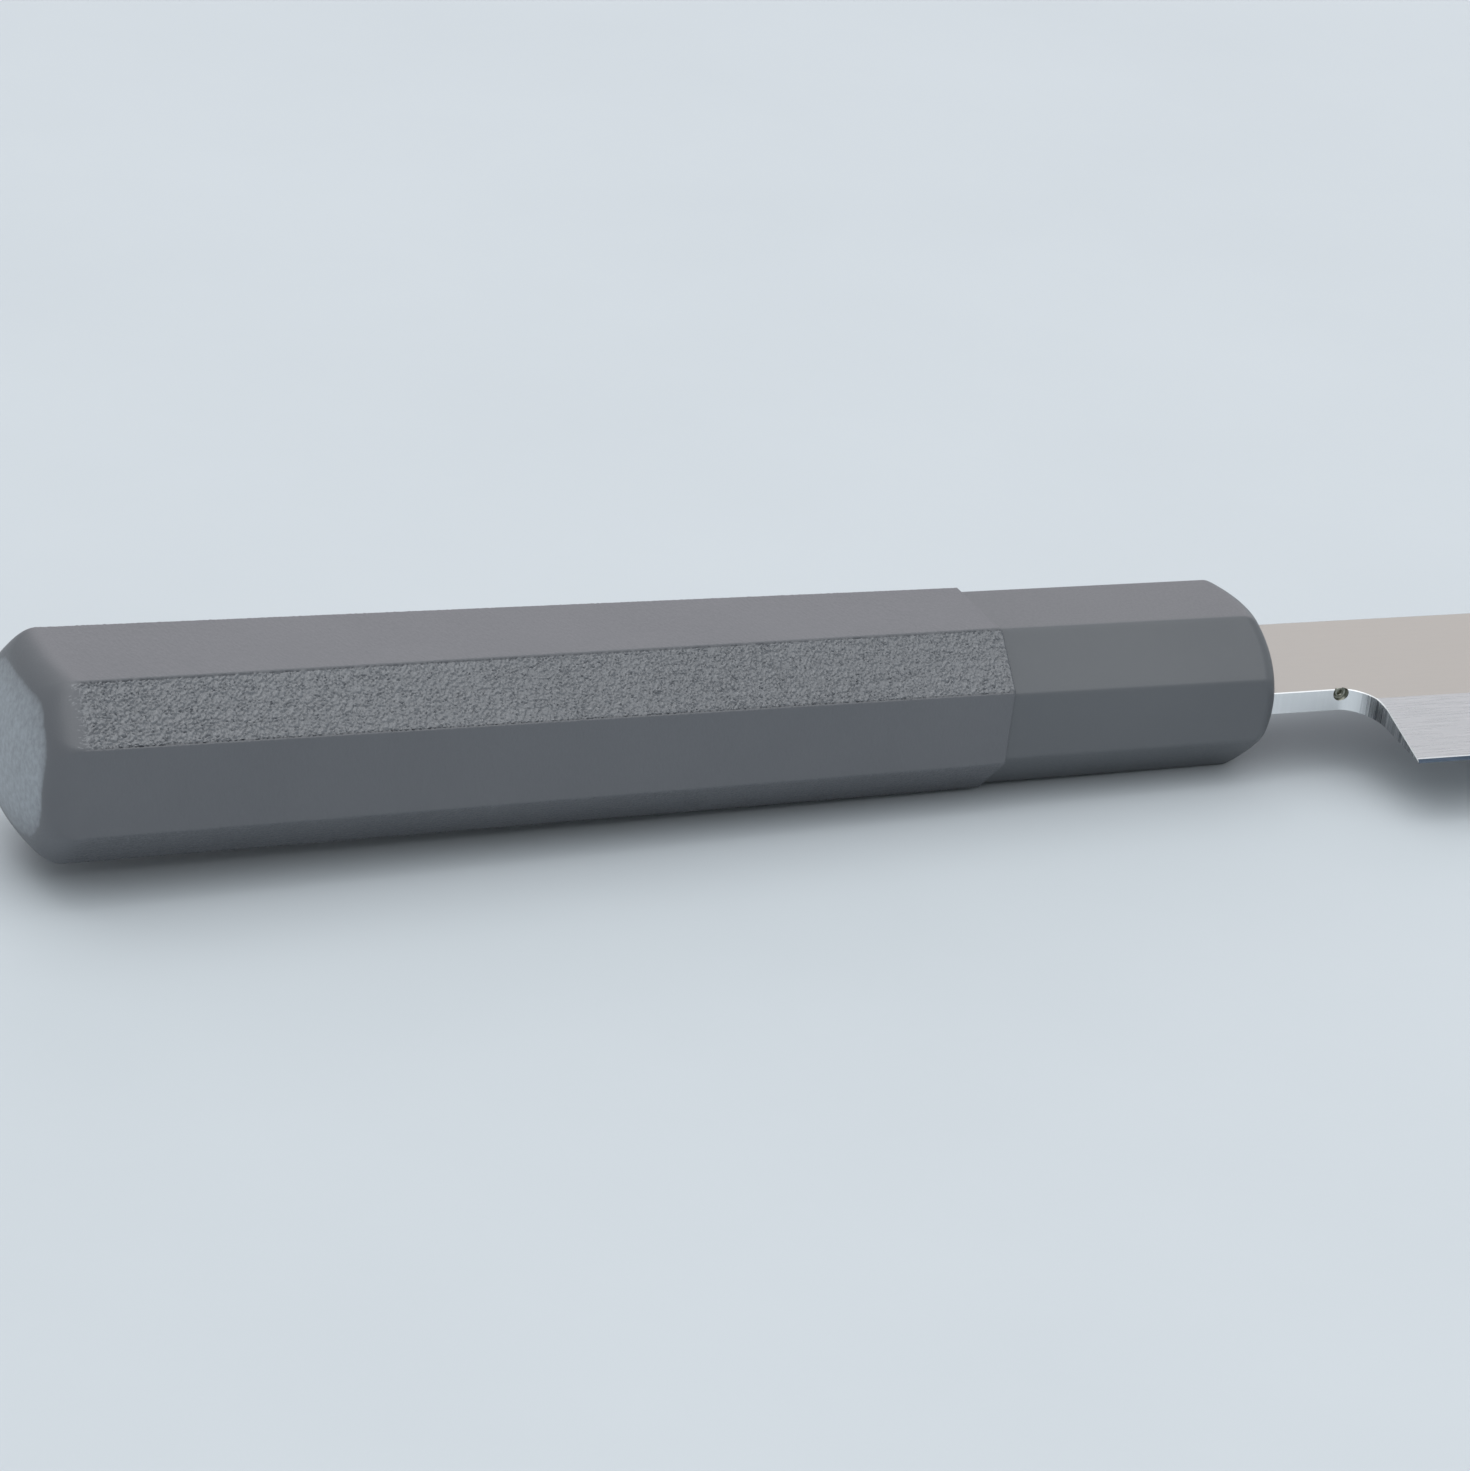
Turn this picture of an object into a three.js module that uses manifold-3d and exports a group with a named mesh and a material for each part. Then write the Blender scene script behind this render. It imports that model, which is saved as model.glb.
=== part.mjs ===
// Sashimi knife: a single-bevel steel blade glued into a two-part octagonal resin handle.
// Millimetres, lying on its side: x runs from butt to tip, y from edge to spine, z from the back to the face.
// Pieces are drawn with x = 0 where the grip meets the ferrule and the handle's axis on y = z = 0.

import * as THREE from 'three';
import { mergeVertices, toCreasedNormals } from 'three/addons/utils/BufferGeometryUtils.js';
import Module from 'manifold-3d';

// Blade
const BLADE_LENGTH = 210; // heel to tip
const HEEL_HEIGHT = 30; // spine to heel
const TIP_HEIGHT = 0.6; // blunt end left at the point
const STEEL_THICKNESS = 2.3; // neck and heel
const TIP_THICKNESS = 1.1; // spine thickness that the taper towards the tip aims at
const SPINE_DROP = 4.5; // fall of the spine at the tip
const SPINE_DROP_POWER = 4;
const SPINE_BREAK = 0.25; // chamfer on the spine's two corners
const EDGE_EARLY_SHARE = 0.16; // share of the edge's rise that starts from the heel
const EDGE_EARLY_POWER = 2;
const EDGE_BELLY_POWER = 7; // the rest of the rise, gathered near the tip
const BEVEL_WIDTH = 10.7; // edge to ridge line
const EDGE_LAND = 0.1; // steel left at the very edge
const FINE_BEVEL_WIDTH = 0.45;
const FINE_BEVEL_RISE = 0.2;
const BACK_RIM = 2; // flat rim round the hollow back
const HOLLOW_DEPTH = 0.18;
const HOLLOW_FADE = 16; // length over which the hollow deepens from the heel
// Most that these may take of the blade's height, or of its thickness, where it narrows to the tip
const TIP_SHARES = { bevel: 0.9, fineBevel: 0.3, backRim: 0.2, spineBreak: 0.05, spineBreakDepth: 0.2 };

// Neck and choil
const NECK_WIDTH = 16.65;
const NECK_REACH = 7.52; // ferrule crown to heel
const CHOIL_REACH = 3; // the choil's oval curve, along the neck
const CHOIL_DROP = 4.45; // the same curve, down the heel
const HEEL_RAKE = THREE.MathUtils.degToRad(5.3); // lean of the heel towards the handle
const PIT_RADIUS = 0.8; // small round pit in the underside of the neck
const PIT_DEPTH = 0.45;
const PIT_TO_HEEL = 2.11;
const PIT_TO_FACE = 0.45;

// Tang
const SHOULDER_DEPTH = 8.5; // ferrule crown back to the neck's shoulders
const TANG_LENGTH = 86; // shoulders to the round end
const TANG_ROOT_WIDTH = 10;
const TANG_END_WIDTH = 6.5;
const TANG_RELIEF = 0.1; // tang face below the neck's face

// Ferrule
const FERRULE_LENGTH = 32.75; // joint to the top of the front crown
const FERRULE_CHEEK = 1.375; // resin left beside the neck
const FERRULE_BACK_DEPTH = 16.78;
const FERRULE_FRONT_DEPTH = 16.35;
const FERRULE_CORNER_CUT = 4.92;
const FERRULE_RIM = 1; // rounding of the front edge
const FERRULE_CROWN = { y: 15.5, z: 10.2 }; // radii of the front crown, across the width and the depth
const SPIGOT_LENGTH = 12;

// Grip
const GRIP_LENGTH = 101.1; // joint to the top of the butt crown
const GRIP_STEP = 0.31; // grip's flats stand proud of the ferrule's
const GRIP_BUTT_WIDTH = 22.6;
const GRIP_BUTT_DEPTH = 18.9;
const GRIP_CORNER_CUT = 4.77;
const GRIP_BREAK = 0.22; // chamfer on the front edge
const BUTT_RIM = 1.5;
const BUTT_CROWN = { y: 41, z: 22 };
const SOCKET_WALL = 2.9; // resin round the spigot's socket
const EDGE_SOFTENING = 0.3; // rounding of the handle's eight long edges

// Fits
const FIT_GAP = 0.2; // glue line between the parts
const JOINT_GAP = 0.05; // grip's front face to ferrule's back face
const BOND_WALL = 1.2; // adhesive round the tang

// Facets of the curved forms
const BLADE_STATIONS = 40;
const HOLLOW_STEPS = 7;
const RIM_STEPS = 6;
const CROWN_RINGS = [0.7, 0.4];
const SOFTENING_STEPS = 2;
const FLAT_STEPS = 5; // lets the crowned ends curve across each flat
const ARC_STEPS = 12;

// Places that follow from the sizes above
const SPINE_Y = NECK_WIDTH / 2;
const NECK_UNDERSIDE_Y = -NECK_WIDTH / 2;
const HEEL_X = FERRULE_LENGTH + NECK_REACH;
const HEEL_Y = SPINE_Y - HEEL_HEIGHT;
const BACK_Z = -STEEL_THICKNESS / 2;
const SHOULDER_X = FERRULE_LENGTH - SHOULDER_DEPTH;
const TANG_THICKNESS = STEEL_THICKNESS - 2 * TANG_RELIEF;
const SOCKET_FLOOR_X = -SPIGOT_LENGTH - FIT_GAP;
const CUT_MARGIN = 5; // how far cutting shapes run past what they cut

const ferruleWidth = NECK_WIDTH + 2 * FERRULE_CHEEK;
const ferruleBack = { width: ferruleWidth, depth: FERRULE_BACK_DEPTH, cut: FERRULE_CORNER_CUT };
const ferruleFront = { width: ferruleWidth, depth: FERRULE_FRONT_DEPTH, cut: FERRULE_CORNER_CUT };
const gripFront = {
  width: ferruleWidth + 2 * GRIP_STEP,
  depth: FERRULE_BACK_DEPTH + 2 * GRIP_STEP,
  cut: GRIP_CORNER_CUT,
};
const gripButt = { width: GRIP_BUTT_WIDTH, depth: GRIP_BUTT_DEPTH, cut: GRIP_CORNER_CUT };

const wasm = await Module();
wasm.setup();

// Solids from closed geometry, for joining and cutting
function solidOf(geometry) {
  const bare = geometry.clone();
  bare.deleteAttribute('normal');
  bare.deleteAttribute('uv');
  const welded = mergeVertices(bare);
  return new wasm.Manifold(new wasm.Mesh({
    numProp: 3,
    vertProperties: welded.attributes.position.array,
    triVerts: new Uint32Array(welded.index.array),
  }));
}

function geometryOf(solid) {
  const mesh = solid.getMesh();
  const geometry = new THREE.BufferGeometry();
  geometry.setAttribute('position', new THREE.BufferAttribute(mesh.vertProperties, 3));
  geometry.setIndex(new THREE.BufferAttribute(mesh.triVerts, 1));
  return geometry;
}

// Skin over rings of equal count, each anticlockwise seen from the tip, closed by a fan at either end
function loft(rings, startPoint = centreOf(rings[0]), endPoint = centreOf(rings.at(-1))) {
  const count = rings[0].length;
  const points = [...rings.flat(), startPoint, endPoint];
  const start = points.length - 2;
  const end = points.length - 1;
  const last = (rings.length - 1) * count;
  const triangles = [];
  for (let k = 0; k < count; k++) {
    const next = (k + 1) % count;
    triangles.push(start, next, k);
    triangles.push(end, last + k, last + next);
    for (let base = 0; base < last; base += count) {
      triangles.push(base + k, base + next, base + count + next);
      triangles.push(base + k, base + count + next, base + count + k);
    }
  }
  return new THREE.BufferGeometry().setFromPoints(points).setIndex(triangles);
}

function centreOf(ring) {
  const sum = ring.reduce((total, point) => total.add(point), new THREE.Vector3());
  return sum.divideScalar(ring.length);
}

// Flat bar with an outline in x and y, centred on z = 0
function bar(outline, thickness) {
  const options = { depth: thickness, bevelEnabled: false, curveSegments: ARC_STEPS };
  return new THREE.ExtrudeGeometry(outline, options).translate(0, 0, -thickness / 2);
}

// Handle sections: a rectangle with its corners cut at 45 degrees
function insetSection({ width, depth, cut }, inset) {
  return {
    width: width - 2 * inset,
    depth: depth - 2 * inset,
    cut: cut - inset * (2 - Math.SQRT2),
  };
}

function mixSections(from, to, share) {
  return {
    width: THREE.MathUtils.lerp(from.width, to.width, share),
    depth: THREE.MathUtils.lerp(from.depth, to.depth, share),
    cut: THREE.MathUtils.lerp(from.cut, to.cut, share),
  };
}

// Points of a section, with x for the width and y for the depth, and its eight corners softened
function sectionOutline({ width, depth, cut }) {
  const w = width / 2;
  const d = depth / 2;
  const corners = [
    [w, cut - d], [w, d - cut], [w - cut, d], [cut - w, d],
    [-w, d - cut], [-w, cut - d], [cut - w, -d], [w - cut, -d],
  ].map(([x, y]) => new THREE.Vector2(x, y));
  const path = new THREE.Path();
  corners.forEach((corner, i) => {
    const before = towards(corner, corners.at(i - 1));
    const after = towards(corner, corners[(i + 1) % corners.length]);
    const flatEnd = towards(corners[(i + 1) % corners.length], corner);
    if (i === 0) path.moveTo(before.x, before.y);
    else path.lineTo(before.x, before.y);
    path.quadraticCurveTo(corner.x, corner.y, after.x, after.y);
    for (let step = 1; step < FLAT_STEPS; step++) {
      const point = after.clone().lerp(flatEnd, step / FLAT_STEPS);
      path.lineTo(point.x, point.y);
    }
  });
  return path.getPoints(SOFTENING_STEPS);
}

// Where the softening of a corner ends, on the side that leads to its neighbour
function towards(corner, neighbour) {
  return neighbour.clone().sub(corner).setLength(EDGE_SOFTENING).add(corner);
}

function sectionRing(section, x) {
  return sectionOutline(section).map((point) => new THREE.Vector3(x, point.x, point.y));
}

function prism(section, fromX, toX) {
  return loft([sectionRing(section, fromX), sectionRing(section, toX)]);
}

// Rings of a handle end, from the flats over a rounded rim to a shallow crown.
// sectionAt(x) is the handle's section, and side is 1 at the front and -1 at the butt.
function crownedRings(sectionAt, apexX, side, crown, rim) {
  const crownX = (y, z) => apexX - side * (y * y / (2 * crown.y) + z * z / (2 * crown.z));
  const rings = [];
  for (let step = 0; step <= RIM_STEPS; step++) {
    const turn = (step / RIM_STEPS) * Math.PI / 2;
    const inset = rim * (1 - Math.cos(turn));
    const setBack = side * rim * (1 - Math.sin(turn));
    const outlineAt = (x) => sectionOutline(insetSection(sectionAt(x), inset));
    rings.push(outlineAt(apexX).map((first, k) => {
      const { x: y, y: z } = outlineAt(crownX(first.x, first.y) - setBack)[k];
      return new THREE.Vector3(crownX(y, z) - setBack, y, z);
    }));
  }
  const rimTop = rings.at(-1);
  for (const share of CROWN_RINGS) {
    const inner = rimTop.map(({ y, z }) => ({ y: y * share, z: z * share }));
    rings.push(inner.map(({ y, z }) => new THREE.Vector3(crownX(y, z), y, z)));
  }
  return rings;
}

// Grip: tapered octagon with a crowned butt, a socket for the spigot and a blind bore for the tang
function gripSectionAt(x) {
  return mixSections(gripFront, gripButt, -x / GRIP_LENGTH);
}

function makeGrip() {
  const rings = [
    ...crownedRings(gripSectionAt, -GRIP_LENGTH, -1, BUTT_CROWN, BUTT_RIM).reverse(),
    sectionRing(gripSectionAt(-GRIP_BREAK), -GRIP_BREAK),
    sectionRing(insetSection(gripFront, GRIP_BREAK), 0),
  ];
  const body = solidOf(loft(rings, new THREE.Vector3(-GRIP_LENGTH, 0, 0)));
  const socket = solidOf(prism(insetSection(gripFront, SOCKET_WALL), SOCKET_FLOOR_X, CUT_MARGIN));
  const boreGrowth = 2 * FIT_GAP + BOND_WALL;
  const bore = solidOf(bar(tangOutline(boreGrowth, 0), TANG_THICKNESS + 2 * boreGrowth));
  return geometryOf(body.subtract(socket).subtract(bore));
}

// Ferrule: smooth octagonal collar with a crowned front, a slot for neck and tang, and a spigot behind
function makeFerrule() {
  const sectionAt = (x) => mixSections(ferruleBack, ferruleFront, x / FERRULE_LENGTH);
  const rings = [
    sectionRing(sectionAt(JOINT_GAP), JOINT_GAP),
    ...crownedRings(sectionAt, FERRULE_LENGTH, 1, FERRULE_CROWN, FERRULE_RIM),
  ];
  const apex = new THREE.Vector3(FERRULE_LENGTH, 0, 0);
  const collar = solidOf(loft(rings, new THREE.Vector3(JOINT_GAP, 0, 0), apex));
  const spigotSection = insetSection(gripFront, SOCKET_WALL + FIT_GAP);
  const spigot = solidOf(prism(spigotSection, -SPIGOT_LENGTH, SPIGOT_LENGTH / 2));
  const neckSlot = solidOf(bar(neckSlotOutline(), STEEL_THICKNESS + 2 * FIT_GAP));
  const tangSlot = solidOf(bar(tangOutline(FIT_GAP, SHOULDER_X), TANG_THICKNESS + 2 * FIT_GAP));
  return geometryOf(collar.add(spigot).subtract(neckSlot).subtract(tangSlot));
}

function neckSlotOutline() {
  const half = NECK_WIDTH / 2 + FIT_GAP;
  const from = SHOULDER_X - FIT_GAP;
  const to = FERRULE_LENGTH + CUT_MARGIN;
  return new THREE.Shape([
    new THREE.Vector2(from, -half),
    new THREE.Vector2(to, -half),
    new THREE.Vector2(to, half),
    new THREE.Vector2(from, half),
  ]);
}

// Adhesive plug between the tang and the grip's bore
function makeTangBond() {
  const growth = FIT_GAP + BOND_WALL;
  const frontX = SOCKET_FLOOR_X - FIT_GAP;
  const plug = solidOf(bar(tangOutline(growth, frontX), TANG_THICKNESS + 2 * growth));
  const hollow = solidOf(bar(tangOutline(FIT_GAP, 0), TANG_THICKNESS + 2 * FIT_GAP));
  return geometryOf(plug.subtract(hollow));
}

// Outline of the tapered, round-ended tang, grown all round, from frontX back to its end
function tangOutline(growth, frontX) {
  const endRadius = TANG_END_WIDTH / 2;
  const endX = SHOULDER_X - TANG_LENGTH + endRadius;
  const share = (SHOULDER_X - frontX) / (SHOULDER_X - endX);
  const frontHalf = THREE.MathUtils.lerp(TANG_ROOT_WIDTH / 2, endRadius, share) + growth;
  const outline = new THREE.Shape();
  outline.moveTo(frontX, frontHalf);
  outline.lineTo(endX, endRadius + growth);
  outline.absarc(endX, 0, endRadius + growth, Math.PI / 2, 3 * Math.PI / 2);
  outline.lineTo(frontX, -frontHalf);
  return outline;
}

// Blade section at a share of the length from heel to tip, with x for the height and y for the thickness.
// The order is spine, flat, ridge, bevel, fine bevel, edge, and the hollow back.
function bladeSection(share) {
  const spine = SPINE_Y - SPINE_DROP * share ** SPINE_DROP_POWER;
  const early = EDGE_EARLY_SHARE * share ** EDGE_EARLY_POWER;
  const belly = (1 - EDGE_EARLY_SHARE) * share ** EDGE_BELLY_POWER;
  const edge = HEEL_Y + (HEEL_HEIGHT - SPINE_DROP - TIP_HEIGHT) * (early + belly);
  const height = spine - edge;

  const fineBevel = Math.min(FINE_BEVEL_WIDTH, height * TIP_SHARES.fineBevel);
  const fineRise = FINE_BEVEL_RISE * fineBevel / FINE_BEVEL_WIDTH;
  const bevel = Math.min(BEVEL_WIDTH, height * TIP_SHARES.bevel);
  const fullThickness = THREE.MathUtils.lerp(STEEL_THICKNESS, TIP_THICKNESS, share);
  const slope = (fullThickness - EDGE_LAND - FINE_BEVEL_RISE) / (BEVEL_WIDTH - FINE_BEVEL_WIDTH);
  const thickness = EDGE_LAND + fineRise + slope * (bevel - fineBevel);
  const spineBreak = Math.min(
    SPINE_BREAK,
    height * TIP_SHARES.spineBreak,
    thickness * TIP_SHARES.spineBreakDepth,
  );

  const rim = Math.min(BACK_RIM, height * TIP_SHARES.backRim);
  const deepening = THREE.MathUtils.smoothstep(share * BLADE_LENGTH, 0, HOLLOW_FADE);
  const hollow = HOLLOW_DEPTH * deepening * height / HEEL_HEIGHT;
  const back = [];
  for (let step = 0; step <= HOLLOW_STEPS; step++) {
    const across = step / HOLLOW_STEPS;
    const y = THREE.MathUtils.lerp(edge + rim, spine - rim, across);
    back.push([y, 4 * hollow * across * (1 - across)]);
  }
  return [
    [spine, spineBreak],
    [spine, thickness - spineBreak],
    [spine - spineBreak, thickness],
    [edge + bevel, thickness],
    [edge + fineBevel, EDGE_LAND + fineRise],
    [edge, EDGE_LAND],
    [edge, 0],
    ...back,
    [spine - spineBreak, 0],
  ];
}

function bladeRing(share, x) {
  return bladeSection(share).map(([y, rise]) => new THREE.Vector3(x, y, BACK_Z + rise));
}

// Blade: heel-to-tip loft carried back over the neck, with the choil cut out, the pit and the tang
function makeBlade() {
  const rings = [bladeRing(0, SHOULDER_X)];
  for (let station = 0; station <= BLADE_STATIONS; station++) {
    const share = 1 - (1 - station / BLADE_STATIONS) ** 2;
    rings.push(bladeRing(share, HEEL_X + share * BLADE_LENGTH));
  }
  const body = solidOf(loft(rings));
  const choil = solidOf(bar(choilOutline(), STEEL_THICKNESS + 2 * CUT_MARGIN));
  const tang = solidOf(bar(tangOutline(0, SHOULDER_X + TANG_RELIEF), TANG_THICKNESS));
  return geometryOf(body.subtract(choil).subtract(makePit()).add(tang));
}

// What is cut away below the neck: up to its underside, round the oval choil and down the raked heel
function choilOutline() {
  const centreY = NECK_UNDERSIDE_Y - CHOIL_DROP;
  const endTurn = -Math.atan(CHOIL_DROP / CHOIL_REACH * Math.tan(HEEL_RAKE));
  const endY = centreY + CHOIL_DROP * Math.sin(endTurn);
  const endX = HEEL_X + (endY - HEEL_Y) * Math.tan(HEEL_RAKE);
  const centreX = endX - CHOIL_REACH * Math.cos(endTurn);
  const backX = SHOULDER_X - CUT_MARGIN;
  const outline = new THREE.Shape();
  outline.moveTo(backX, NECK_UNDERSIDE_Y);
  outline.lineTo(centreX, NECK_UNDERSIDE_Y);
  outline.absellipse(centreX, centreY, CHOIL_REACH, CHOIL_DROP, Math.PI / 2, endTurn, true);
  outline.lineTo(HEEL_X - CUT_MARGIN * Math.tan(HEEL_RAKE), HEEL_Y - CUT_MARGIN);
  outline.lineTo(backX, HEEL_Y - CUT_MARGIN);
  return outline;
}

function makePit() {
  const radius = (PIT_RADIUS ** 2 + PIT_DEPTH ** 2) / (2 * PIT_DEPTH);
  const ball = new THREE.SphereGeometry(radius, 2 * ARC_STEPS, ARC_STEPS);
  const y = NECK_UNDERSIDE_Y + PIT_DEPTH - radius;
  const z = STEEL_THICKNESS / 2 - PIT_TO_FACE;
  return solidOf(ball.translate(HEEL_X - PIT_TO_HEEL, y, z));
}

// The finished pieces
const grainedResin = new THREE.MeshStandardMaterial({ color: 0x6e6e75, roughness: 0.6, metalness: 0 });
const smoothResin = new THREE.MeshStandardMaterial({ color: 0x6b6c73, roughness: 0.45, metalness: 0 });
const steel = new THREE.MeshStandardMaterial({ color: 0xc6c3be, roughness: 0.25, metalness: 1 });
const adhesive = new THREE.MeshStandardMaterial({ color: 0xcdbf94, roughness: 0.4, metalness: 0 });
const CREASE_ANGLE = THREE.MathUtils.degToRad(25);

function piece(name, geometry, material) {
  const mesh = new THREE.Mesh(toCreasedNormals(geometry, CREASE_ANGLE), material);
  mesh.name = name;
  return mesh;
}

const knife = new THREE.Group();
knife.add(piece('blade', makeBlade(), steel));
knife.add(piece('ferrule', makeFerrule(), smoothResin));
knife.add(piece('grip', makeGrip(), grainedResin));
knife.add(piece('tang_bond', makeTangBond(), adhesive));

// Set down on z = 0, centred in x and y
const extent = new THREE.Box3().setFromObject(knife);
const middle = extent.getCenter(new THREE.Vector3());
knife.position.set(-middle.x, -middle.y, -extent.min.z);

export default knife;
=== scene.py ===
import itertools
import math

import bpy
import numpy as np
from mathutils import Matrix, Vector


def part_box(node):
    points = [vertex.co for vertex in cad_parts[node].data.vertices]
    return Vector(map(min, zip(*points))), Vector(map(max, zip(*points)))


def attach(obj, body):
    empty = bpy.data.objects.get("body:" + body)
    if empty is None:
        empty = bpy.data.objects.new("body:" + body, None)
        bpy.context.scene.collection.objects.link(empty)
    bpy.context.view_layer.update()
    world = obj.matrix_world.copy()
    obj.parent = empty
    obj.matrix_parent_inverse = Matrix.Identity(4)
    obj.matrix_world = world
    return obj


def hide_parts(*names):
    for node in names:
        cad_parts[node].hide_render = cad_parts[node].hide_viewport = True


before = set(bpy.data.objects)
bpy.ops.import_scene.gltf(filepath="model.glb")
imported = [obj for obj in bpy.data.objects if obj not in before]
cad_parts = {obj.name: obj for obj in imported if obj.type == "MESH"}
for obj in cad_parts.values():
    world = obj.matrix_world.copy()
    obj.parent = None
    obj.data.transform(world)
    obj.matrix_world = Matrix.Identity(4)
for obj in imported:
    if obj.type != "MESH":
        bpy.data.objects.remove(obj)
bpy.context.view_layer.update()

# Knife coordinates, in millimetres from the middle of the grip's front end
MM = 0.001
MICRON = 0.000001
grip_low, grip_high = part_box("grip")
ferrule_low, ferrule_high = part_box("ferrule")
blade_low, blade_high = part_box("blade")
grip_middle = (grip_low + grip_high) / 2
AXIS = Vector((grip_high.x, grip_middle.y, grip_middle.z))


def to_knife(corner):
    """Point in knife coordinates: x towards the tip, y towards the spine, z towards the blade's face."""
    return (corner - AXIS) / MM


# Handle, in millimetres
GRIP_LENGTH = (grip_high.x - grip_low.x) / MM
GRIP_STEP = 0.31
GRIP_CORNER_CUT = 4.77
GRIP_BREAK = 0.22
GRIP_CREASE_DEGREES = 75
BUTT_WIDTH = 22.6
BUTT_DEPTH = 18.9
BUTT_RIM = 2.3
BUTT_RIM_STEPS = 16
BUTT_CORNER_ROUND = 2.05
BUTT_CROWN_RADII = (41, 22)
BUTT_CROWN_SHARES = np.linspace(0.96, 0.04, 24)
FERRULE_LENGTH = to_knife(ferrule_high).x
FERRULE_WIDTH = (ferrule_high.y - ferrule_low.y) / MM
FERRULE_BACK_DEPTH = (ferrule_high.z - ferrule_low.z) / MM
FERRULE_FRONT_DEPTH = 16.35
FERRULE_CORNER_CUT = 4.92
FERRULE_RIM = 1
FERRULE_RIM_STEPS = 12
FERRULE_CROWN_RADII = (15.5, 10.2)
FERRULE_CROWN_SHARES = np.linspace(0.95, 0.05, 19)
FERRULE_SPACING = 0.5
FERRULE_CREASE_DEGREES = 30
SPIGOT_LENGTH = -to_knife(ferrule_low).x
SOCKET_WALL = 2.9
JOINT_GAP = 0.05
FIT_GAP = 0.2
EDGE_SOFTENING = 0.3
EDGE_SOFTENING_STEPS = 6

# Leather grain of the grip: coarse at the butt, fine at the ferrule, deep on the slanted flats that face up
GRAIN_SPACING = 0.1
SMOOTH_SPACING = 0.3
GRAIN_COARSE_CELL = (0.6, 0.38, 0.38)
GRAIN_FINE_CELL = (0.34, 0.27, 0.27)
GRAIN_SLANT = -0.6
GRAIN_SHARPNESS = 4.0
GRAIN_BUTT_FINENESS = 0.3
GRAIN_FRONT_FINENESS = 0.8
GRAIN_FINENESS_SPAN = (0.1, 0.75)
GRAIN_BUTT_DEPTH = 0.37
GRAIN_FRONT_DEPTH = 0.28
GRAIN_SMOOTH_SHARE = 0.12
GRAIN_LOWER_SHARE = 0.3
GRAIN_BUTT_FADE = (1.2, 4.0)
GRAIN_FRONT_FADE = (-2 * GRIP_BREAK, -0.5 * GRIP_BREAK)

# Slanted flats: how far they face both sideways and up or down, which picks the up-facing ones painted
# lighter, and where their grain starts and is full
SLANTED_NORMAL = 0.45
SLANTED_GRAIN = (0.2, 0.4)

# Waves that bend the grain's creases, with their turns in radians for each millimetre
LONG_WAVE = 0.12
LONG_WAVE_TURN = 5.1
LONG_WAVE_START = 1.7
SHORT_WAVE = 0.07
SHORT_WAVE_TURN = 9.3

# Numbers that scramble the place of a grain cell into its random point
COARSE_SALT = 11
FINE_SALT = 23
CELL_PRIMES = (73856093, 19349663, 83492791)
POINT_PRIMES = (2654435761, 2246822519, 3266489917)
MIXING_PRIME = 2246822519
MIXING_SHIFTS = (15, 13)
WORD = 0xFFFFFFFF

# Painted light on the butt, standing in for light from the left: how far a surface faces the rear where the
# painted light starts and is full, and its mottling
PAINTED_BUTT_LIGHT_NORMAL = (0.88, 0.98)
PAINTED_BUTT_LIGHT_MOTTLING = (0.86, 1.0)

# Blade, in millimetres
SPINE_Y = to_knife(blade_high).y
HEEL_Y = to_knife(blade_low).y
TIP_X = to_knife(blade_high).x
TANG_END_X = to_knife(blade_low).x
BACK_Z = to_knife(blade_low).z
STEEL_THICKNESS = (blade_high.z - blade_low.z) / MM
NECK_REACH = 7.52
HEEL_X = FERRULE_LENGTH + NECK_REACH
BLADE_LENGTH = TIP_X - HEEL_X
HEEL_HEIGHT = SPINE_Y - HEEL_Y
NECK_UNDERSIDE_Y = -SPINE_Y
TIP_HEIGHT = 0.6
TIP_THICKNESS = 1.1
SPINE_DROP = 4.5
SPINE_DROP_POWER = 4
SPINE_ROUND = 0.25
SPINE_ROUND_STEPS = 5
EDGE_EARLY_SHARE = 0.16
EDGE_EARLY_POWER = 2
EDGE_BELLY_POWER = 7
BEVEL_WIDTH = 10.7
EDGE_LAND = 0.03
FINE_BEVEL_WIDTH = 0.45
FINE_BEVEL_RISE = 0.2
FINE_LINE = 0.16
BACK_RIM = 2
HOLLOW_DEPTH = 0.18
HOLLOW_FADE = 16
HOLLOW_STEPS = 24
CHOIL_REACH = 3
CHOIL_DROP = 4.45
CHOIL_GROUND_TURN = math.radians(49)
CHOIL_STEPS = 60
HEEL_RAKE = math.radians(5.3)
HEEL_STEPS = 40
EDGE_BREAK = 0.09
SHOULDER_DEPTH = 8.5
SHOULDER_X = FERRULE_LENGTH - SHOULDER_DEPTH
TANG_ROOT_WIDTH = 10
TANG_END_WIDTH = 6.5
TANG_END_STEPS = 25
TANG_RELIEF = 0.1
BLADE_STATIONS = 110
BLADE_CREASE_DEGREES = 8
CUT_MARGIN = 5

# Largest shares of the blade's height, or of its thickness, that these features take up near the tip
FINE_BEVEL_SHARE = 0.3
BEVEL_SHARE = 0.9
SPINE_ROUND_SHARE = 0.05
SPINE_ROUND_THICKNESS_SHARE = 0.2
BACK_RIM_SHARE = 0.2

# Pit in the choil's wall, with its profile as shares of the radius and depths, from the mouth to the core
PIT_RADIUS = 0.8
PIT_TO_HEEL = 2.11
PIT_TO_FACE = 0.45
PIT_SIDES = 64
PIT_LIP = 0.03
PIT_LIP_DEPTH = -0.02
PIT_CUT_MARGIN = 0.4
PIT_PROFILE = ((1, 0.03), (0.86, 0.3), (0.68, 0.36), (0.58, 0.24), (0.42, 0.2), (0.34, 0.3), (0.3, 0.6))

# Finishes of the blade's faces
FLAT, BEVEL, FINE, POLISHED, BACK, PIT, GROUND, BROKEN = range(8)

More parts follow.
